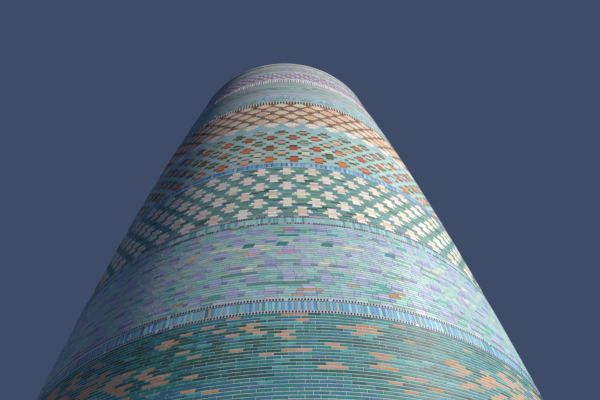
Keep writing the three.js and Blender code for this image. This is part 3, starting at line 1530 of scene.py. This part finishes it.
@dataclass
class Footing:
    """The bare brick courses at the foot, laid on the faces of the wall sectors."""

    top: float = 0.98
    course_count: int = 14
    bricks: int = 172
    head_joint: float = 0.014
    bed_joint: float = 0.016
    proud: float = 0.004
    bevel: float = 0.004
    uneven: float = 0.002
    bed_proud: float = -0.004
    depth: float = 0.03
    root: float = 0.02
    seed: int = 5

    def build(self) -> None:
        """Makes the footing's brickwork in quarters."""
        masonry = Masonry(self.seed)
        clay = mix(BARE_TAN=4, BARE_PINK=2, BARE_ORANGE=1)
        height, half = self.top / self.course_count, self.bed_joint / 2
        for index in range(self.course_count):
            low = index * height
            gap = self.head_joint / 2 / SHAFT.radius(low)
            left, right = ring(self.bricks, shift=0.5 * (index % 2), gap=gap)
            glaze = pick(masonry.rng, clay, self.bricks)
            proud = self.proud + masonry.rng.normal(0, self.uneven, self.bricks)
            masonry.lay(left, right, low + half, low + height - half, glaze, proud, 1.0,
                        bevel=self.bevel, wobble=self.uneven)
        materials = [FINISHES.of(MORTAR), FINISHES.of(MIDDLE_GLAZE)]
        for quarter in Quarter:
            start, end = quarter.start, quarter.start + TURN / 4
            mortar = bed(start, end, 0.001, self.top, self.bed_proud, depth=self.depth)
            solid = Solid.joined([mortar, masonry.solid(start, end, self.root)])
            piece = solid.to_object(f"footing_courses_{quarter.name}", materials)
            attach(piece, "root")


# The sides of a brick that lies flat, its underside first.
HEAD_ORDER = [1, 0, 2, 3, 4, 5]


@dataclass
class WallHead:
    """The open top of the wall: rings of bricks laid flat round the well."""

    rings: int = 5
    brick_length: float = 0.255
    joint: float = 0.016
    clearance: float = 0.01
    root: float = 0.02
    bevel: float = 0.003
    rise: tuple[float, float] = (0.010, 0.022)
    uneven: float = 0.002
    seed: int = 11

    def __post_init__(self) -> None:
        """Reads the height of the wall head and the radius at which the coping begins."""
        self.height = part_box("brick_wall_front")[1].z
        self.outer = float(SHAFT.radius(self.height)) - COPING_WIDTH - 0.03
        self.rng = np.random.default_rng(self.seed)

    def build(self) -> None:
        """Makes the bricks, which lie on the mortar of the wall itself."""
        inner, half = SHAFT.well_radius + self.clearance, self.joint / 2
        step = (self.outer - inner) / self.rings
        points, tones, glazes = [], [], []
        for index in range(self.rings):
            near, far = inner + index * step + half, inner + (index + 1) * step - half
            count = round(TURN * near / self.brick_length)
            for left, right in zip(*ring(count, shift=0.5 * (index % 2), gap=half / near)):
                points += self.brick(left, right, near, far)
                tones.append(self.rng.random())
                glazes += list(pick(self.rng, BARE, 1))
        points = np.array(points)
        faces = np.arange(len(tones))[:, None, None] * 8 + BOX_FACES[HEAD_ORDER, ::-1]
        region = np.tile(BOX_REGIONS[HEAD_ORDER], len(tones))
        solid = Solid(points, faces.reshape(-1, 4), points[:, :2], region, 1, np.repeat(glazes, 6),
                      np.repeat(tones, 6), 1)
        piece = solid.to_object("wall_head_bricks", [FINISHES.of(MORTAR), FINISHES.of(MIDDLE_GLAZE)])
        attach(piece, "root")

    def brick(self, left: float, right: float, near: float,
              far: float) -> list[tuple[float, float, float]]:
        """Sets out one brick that lies flat.

        Args:
            left: The angle of its left side.
            right: The angle of its right side.
            near: The radius of its end at the well.
            far: The radius of its outer end.

        Returns:
            Its eight corners, the lower four first.
        """
        corners = []
        top = self.height + self.rng.uniform(*self.rise)
        for height, inset in ((self.height - self.root, 0.0), (top, self.bevel)):
            for angle, radius in (
                (left + inset / near, near + inset), (right - inset / near, near + inset),
                (right - inset / far, far - inset), (left + inset / far, far - inset),
            ):
                lift = self.rng.uniform(-self.uneven, self.uneven) if inset else 0.0
                corners.append((radius * math.sin(angle), -radius * math.cos(angle), height + lift))
        return corners


@dataclass
class Coping:
    """The pale mortar coping on the rim, a little uneven."""

    node: str = "coping"
    flats: int = 240
    bump: float = 0.024
    sideways: float = 0.6
    sharp: float = math.radians(40)
    seed: int = 3

    def build(self) -> None:
        """Makes the coping as one uneven ring."""
        low, high = (corner.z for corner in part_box(self.node))
        outer = float(SHAFT.radius(low)) + 0.016
        inner = float(SHAFT.radius(low)) - COPING_WIDTH
        outline = [
            (outer, low + 0.001), (outer + 0.002, low + 0.1), (outer - 0.008, high - 0.03),
            (outer - 0.05, high - 0.004), (outer - 0.3, high - 0.02), (inner + 0.04, high - 0.06),
            (inner, high - 0.1), (inner, low + 0.001),
        ]
        bumps = Patches(self.seed, 0.5, 0.3)
        angles = np.arange(self.flats) / self.flats * TURN
        points, flat = [], []
        for index, (radius, height) in enumerate(outline):
            firm = index in (0, len(outline) - 1)
            uneven = (bumps.at(angles, index * 0.31) - 0.5) * (0.0 if firm else self.bump)
            reach = radius + uneven * self.sideways
            level = height + np.minimum(uneven, 0.0)
            points.append(np.stack([reach * np.sin(angles), -reach * np.cos(angles), level], -1))
            flat.append(np.stack([angles, np.full(self.flats, float(index))], -1))
        here = np.arange(self.flats)[:, None]
        after = (here + 1) % self.flats
        level = np.arange(len(outline)) * self.flats
        above = np.roll(level, -1)
        faces = np.stack([level + here, level + after, above + after, above + here], -1).reshape(-1, 4)
        region = np.full((self.flats, len(outline)), Region.SHOWN)
        region[:, -1] = Region.HIDDEN
        solid = Solid(np.concatenate(points), faces, np.concatenate(flat), region.ravel())
        piece = solid.to_object("coping_mortar", [FINISHES.of(PLASTER)], smooth=True)
        piece.data.set_sharp_from_angle(angle=self.sharp)
        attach(piece, "root")
        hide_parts(self.node)


class WallSectors:
    """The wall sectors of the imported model, which stay as they are and get their brick finish."""

    def dress(self) -> None:
        """Gives each sector the well's brickwork."""
        for name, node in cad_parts.items():
            if name.startswith("brick_wall"):
                node.data.materials.clear()
                node.data.materials.append(FINISHES.of(WELL))
                logging.info("%s dressed", name)


@dataclass
class Studio:
    """The floor, the light and the camera at the photograph's viewpoint.

    Lengths are in metres, apart from the sensor's width in millimetres, and angles are in degrees. The
    light's azimuth runs from the front towards +X.
    """

    distance: float = 13.778
    eye: float = 1.6
    focal_pixels: float = 484.0
    frame_width: int = 600
    turn: float = 2.886
    tilt: float = 55.339
    roll: float = -3.358
    sensor: float = 36.0
    floor_radius: float = 14.0
    floor_sides: int = 96
    azimuth: float = 63.0
    elevation: float = 38.0
    energy: float = 6.1
    softness: float = 8.0
    tint: tuple[float, float, float] = (1.0, 0.945, 0.885)
    surround: Colour = (0.33, 0.48, 0.92, 1.0)
    surround_strength: float = 0.15

    def build(self) -> None:
        """Makes the floor, the light and the camera."""
        self.make_floor()
        self.make_light()
        self.make_camera()

    def make_floor(self) -> None:
        """Makes a wide pale disc at ground level."""
        count = self.floor_sides
        angles = np.arange(count) / count * TURN
        points = [(self.floor_radius * math.cos(a), self.floor_radius * math.sin(a), -0.002) for a in angles]
        mesh = bpy.data.meshes.new("studio_floor")
        mesh.from_pydata(points, [], [list(range(count))])
        mesh.materials.append(FINISHES.of(PlainFinish("studio_floor", "#bfbdb8")))
        floor = bpy.data.objects.new("studio_floor", mesh)
        bpy.context.scene.collection.objects.link(floor)

    def make_light(self) -> None:
        """Makes a soft sun from the right and a dim blue surround."""
        light = bpy.data.lights.new("key_light", "SUN")
        light.energy = self.energy
        light.angle = math.radians(self.softness)
        light.color = self.tint
        lamp = bpy.data.objects.new("key_light", light)
        turn, rise = math.radians(self.azimuth), math.radians(self.elevation)
        towards = Vector((math.sin(turn) * math.cos(rise), -math.cos(turn) * math.cos(rise), math.sin(rise)))
        lamp.rotation_mode = "QUATERNION"
        lamp.rotation_quaternion = towards.to_track_quat("Z", "Y")
        bpy.context.scene.collection.objects.link(lamp)
        world = bpy.data.worlds.new("pale_surround")
        world.use_nodes = True
        background = world.node_tree.nodes["Background"]
        background.inputs["Color"].default_value = self.surround
        background.inputs["Strength"].default_value = self.surround_strength
        bpy.context.scene.world = world
        bpy.context.scene.view_settings.view_transform = "Standard"

    def make_camera(self) -> None:
        """Sets the camera at the photograph's viewpoint, near the foot of the shaft and looking up."""
        turn, tilt, roll = (math.radians(angle) for angle in (self.turn, self.tilt, self.roll))
        ahead = Vector((math.sin(turn) * math.cos(tilt), math.cos(turn) * math.cos(tilt), math.sin(tilt)))
        level = Vector((math.cos(turn), -math.sin(turn), 0.0))
        up = level.cross(ahead)
        right = math.cos(roll) * level + math.sin(roll) * up
        top = -math.sin(roll) * level + math.cos(roll) * up
        data = bpy.data.cameras.new("camera")
        data.sensor_width = self.sensor
        data.lens = self.sensor * self.focal_pixels / self.frame_width
        data.clip_end = 500.0
        camera = bpy.data.objects.new("camera", data)
        camera.matrix_world = Matrix((
            (right.x, top.x, -ahead.x, 0.0),
            (right.y, top.y, -ahead.y, -self.distance),
            (right.z, top.z, -ahead.z, self.eye),
            (0.0, 0.0, 0.0, 1.0),
        ))
        bpy.context.scene.collection.objects.link(camera)
        bpy.context.scene.camera = camera


# Where the front of the teal courses and of the diamond courses is bare or of an odd colour. Some teal
# spots are painted light: peacock-blue ones at the lower front paint a reflected sheen, and night-black,
# umber and bottle-green ones on the left paint shade.
TEAL_WEAR_AND_PAINTED_LIGHT = (
    Spot(-8.3, 7.83, 0.26), Spot(-5.6, 7.57, 0.34, 0.16), Spot(-4.5, 7.43, 0.24),
    Spot(-9.8, 7.54, 0.28), Spot(0.7, 7.83, 0.50), Spot(1.6, 7.68, 0.36), Spot(-0.6, 7.31, 0.26, 0.18),
    Spot(12.3, 7.53, 0.50, 0.18), Spot(17.2, 7.73, 0.34, 0.10), Spot(8.4, 7.55, 0.45),
    Spot(10.5, 7.42, 0.34), Spot(6.6, 6.66, 0.42, 0.12), Spot(6.8, 7.08, 0.32), Spot(-6.9, 7.04, 0.32),
    Spot(1.2, 6.98, 0.32), Spot(-2.3, 6.90, 0.24), Spot(13.4, 6.94, 0.42), Spot(13.6, 6.73, 0.28),
    Spot(14.6, 6.42, 0.32, 0.12), Spot(17.9, 6.55, 0.28), Spot(19.9, 6.42, 0.28, 0.10),
    Spot(19.7, 7.38, 0.24), Spot(16.3, 6.29, 0.20), Spot(-18.4, 6.68, 0.40, 0.18),
    Spot(-13.0, 6.60, 0.22), Spot(-12.8, 6.37, 0.28), Spot(-12.3, 7.67, 0.24), Spot(-8.1, 7.38, 0.42),
    Spot(-19.0, 7.47, 0.30, 0.20), Spot(-5.3, 6.70, 0.20), Spot(-16.0, 7.20, 0.26),
    Spot(-15.0, 7.62, 0.24), Spot(-10.5, 6.25, 0.36), Spot(25.5, 7.10, 0.40, 0.10),
    Spot(30.0, 7.60, 0.40, 0.10), Spot(28.0, 6.70, 0.30), Spot(-43.0, 7.30, 3.40, 0.70, None, 0.35),
    Spot(-36.0, 6.50, 3.00, 0.80, None, 0.3), Spot(-27.0, 6.80, 1.60, 0.50, None, 0.35),
    Spot(34.0, 6.90, 2.00, 0.60, None, 0.3), Spot(47.0, 7.00, 1.80, 1.20, None, 0.5),
    # Painted reflection: peacock-blue bricks at the lower front stand in for the bluish sheen of the sky.
    Spot(0.0, 6.10, 3.00, 0.50, Glaze.PEACOCK, 0.6), Spot(-4.0, 5.60, 4.50, 0.60, Glaze.PEACOCK, 0.4),
    Spot(-15.0, 7.30, 3.60, 0.80, Glaze.BOTTLE_GREEN, 0.4),
    # Painted shade: night-black, umber and bottle-green bricks darken the shaded left flank.
    Spot(-44.0, 6.90, 5.00, 1.50, Glaze.NIGHT, 0.22), Spot(-45.0, 7.10, 4.40, 1.10, Glaze.UMBER, 0.2),
    Spot(-28.0, 7.20, 3.20, 1.00, Glaze.BOTTLE_GREEN, 0.4),
)
ODD_DIAMONDS = (
    Spot(3.6, 8.50, 0.42), Spot(2.1, 8.34, 0.26), Spot(-18.5, 8.50, 0.28), Spot(18.9, 8.62, 0.26, 0.20),
    Spot(-0.6, 10.58, 0.30), Spot(11.3, 8.70, 0.50), Spot(-12.3, 9.99, 0.52, 0.10, Glaze.STRAW),
    Spot(13.3, 9.99, 0.36, 0.10, Glaze.STRAW), Spot(-18.5, 9.96, 0.40, 0.12, Glaze.PEACH),
    Spot(-6.8, 9.67, 0.30, 0.08, Glaze.PINK), Spot(-0.4, 9.67, 0.30, 0.08, Glaze.PINK),
    Spot(-7.2, 9.99, 0.24, 0.14, Glaze.TEAL), Spot(-0.6, 9.99, 0.22, 0.14, Glaze.TEAL),
    Spot(8.0, 9.99, 0.24, 0.14, Glaze.TEAL), Spot(21.0, 10.0, 0.24, 0.14, Glaze.PEACOCK),
    Spot(0.9, 10.33, 0.58, 0.08, Glaze.TEAL), Spot(-6.0, 10.50, 0.60, 0.08, Glaze.MAUVE),
    Spot(-12.0, 10.50, 0.50, 0.08, Glaze.MAUVE), Spot(2.5, 9.44, 0.90, 0.06, Glaze.SEA_GREEN),
    Spot(-8.0, 9.08, 0.80, 0.06, Glaze.SEA_GREEN), Spot(-1.0, 8.68, 1.20, 0.06, Glaze.SEA_GREEN),
    Spot(6.0, 10.14, 0.40, 0.06, Glaze.MAUVE),
)


def facing() -> list[Band]:
    """Sets out the bands of the facing.

    Returns:
        The bands from the foot up, ready to build.
    """
    teal = mix(BOTTLE_GREEN=5, DEEP_TEAL=26, TEAL=52, TURQUOISE=7, PEACOCK=10)
    stripes = mix(LAKE=7, AZURE=3, PEACOCK=1, TURQUOISE=1)
    pale = mix(SKY=6, HAZE=3, LAKE=2)
    fillet = mix(TURQUOISE=3, AQUA=6, MINT=4, PALE_TURQUOISE=3, PALE_BLUE=2)
    blue = mix(AZURE=6, COBALT=3, PEACOCK=3)
    light_blue = mix(SKY=3, AZURE=3, LAKE=3, PALE_BLUE=1)
    lilac = mix(PALE_BLUE=4, PALE_LILAC=2, PALE_TURQUOISE=6, AQUA=3, AZURE=0.6)
    streaks = (
        (20.6, mix(HAZE=6, GREY_GREEN=4, PALE_TURQUOISE=3)),
        (21.5, mix(ASH=8, HAZE=4, PALE_BLUE=3, PALE_LILAC=1)),
        (22.4, mix(HAZE=5, GREY_GREEN=4, SLATE=5, PALE_TURQUOISE=2)),
    )
    streaked = mix(ASH=7, GREY_GREEN=4, SILVER=4)
    lower_rim = mix(GREY_GREEN=5, ASH=5, SLATE=4)
    upper_rim = mix(SILVER=8, ASH=4, GREY_GREEN=3, PALE_LILAC=1)
    faint = {"beads": 672, "strip": Glaze.MIST_LILAC, "missing": 0.2, "faded": 0.3}
    fine = {"bed_joint": 0.006, "head_joint": 0.004, "bed_proud": -0.003}
    rim = {"bed_joint": 0.007, "head_joint": 0.005, "bed_proud": -0.003, "drift": 0.7}
    lower, upper = Module(56, 0.3), Module(54, 5.65)
    stepped = Module(56, 0.3, reach=(0.5, 0.43, 1.0), taper=0.2)
    pointed = Module(54, 5.65, reach=(0.56, 0.8, 1.12))
    return [
        CourseBand("glazed_courses", "teal_glazed_brick", 21, LOWER_GLAZE, PALE_MORTAR, weights=teal,
                   loss=0.28, spots=TEAL_WEAR_AND_PAINTED_LIGHT, drift=0.75, uneven=0.0005, bed_proud=-0.0042),
        BeadRow("bead_row_1", "bead_tile", 22, TILE_GLAZE),
        UprightBand("striped_tile_band", "striped_tile", 23, TILE_GLAZE, weights=stripes, second=pale,
                    fill=0.9, loss=0.1),
        BeadRow("bead_row_2", "bead_tile", 24, TILE_GLAZE),
        DiamondBand("diamond_courses", "mint_and_lilac_brick", 25, module=lower, loss=0.12,
                    spots=ODD_DIAMONDS, sway=0.09),
        BeadRow("bead_row_3", "bead_tile", 26, TILE_GLAZE, **faint),
        UprightBand("turquoise_fillet", "turquoise_tile", 27, TILE_GLAZE, tiles=672, weights=fillet,
                    fill=0.9),
        BeadRow("bead_row_4", "bead_tile", 28, TILE_GLAZE, **faint),
        StarBand("star_courses", "star_brick", 29, module=stepped),
        UprightBand("pale_edge_row", "bead_tile", 30, TILE_GLAZE, MORTAR, in_quarters=False, tiles=560,
                    weights=mix(PALE_LILAC=1, SILVER=1), second=mix(SKY=1), proud=0.008),
        UprightBand("blue_tile_band", "blue_tile", 31, TILE_GLAZE, tiles=560, weights=blue, fill=0.88,
                    second=light_blue, cap=0.085, cap_weights=mix(PALE_LILAC=2, SILVER=2, SKY=1)),
        CrossBand("cross_courses", "cross_brick", 32, module=upper),
        CourseBand("lilac_fillet", "lilac_tile", 33, course_count=5, bricks=324, weights=lilac, **fine),
        LatticeBand("lattice_courses", "lattice_brick", 34, UPPER_GLAZE, BROWN_MORTAR, module=pointed),
        # The dentil's night-black ground is painted shade: it stands in for the shadowed gaps between the
        # teeth.
        ToothRow("dentil_row", "dentil_brick", 35, UPPER_GLAZE, MORTAR, tooth=mix(CREAM=2, PALE_PEACH=3),
                 ground=mix(NIGHT=1), root=0.08, bed_proud=-0.03),
        StreakedBand("streaked_courses", "pale_turquoise_brick", 36, UPPER_GLAZE, course_count=43,
                     bricks=144, weights=streaked, changes=streaks, drift=0.85, **fine),
        ToothRow("toothed_row", "toothed_tile", 37, TILE_GLAZE, tooth=mix(WHITE=1),
                 ground=mix(ASH=3, SLATE=2), tooth_proud=0.004, fill=0.47, bed_proud=-0.02),
        Frieze("ornament_frieze", "ornament_tile", 38, UPPER_GLAZE, bed_proud=-0.014),
        CourseBand("lower_rim_band", "rim_brick", 39, UPPER_GLAZE, course_count=14, bricks=132,
                   weights=lower_rim, **rim),
        CourseBand("upper_rim_band", "rim_brick", 40, UPPER_GLAZE, course_count=12, bricks=128,
                   weights=upper_rim, **rim),
    ]


def main() -> None:
    """Builds the pieces in order from the foot up, then the studio."""
    logging.basicConfig(level=logging.INFO, format="%(message)s")
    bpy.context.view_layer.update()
    WallSectors().dress()
    Footing().build()
    for band in facing():
        band.build()
    WallHead().build()
    Coping().build()
    Studio().build()
    bpy.context.view_layer.update()


if __name__ == "__main__":
    main()
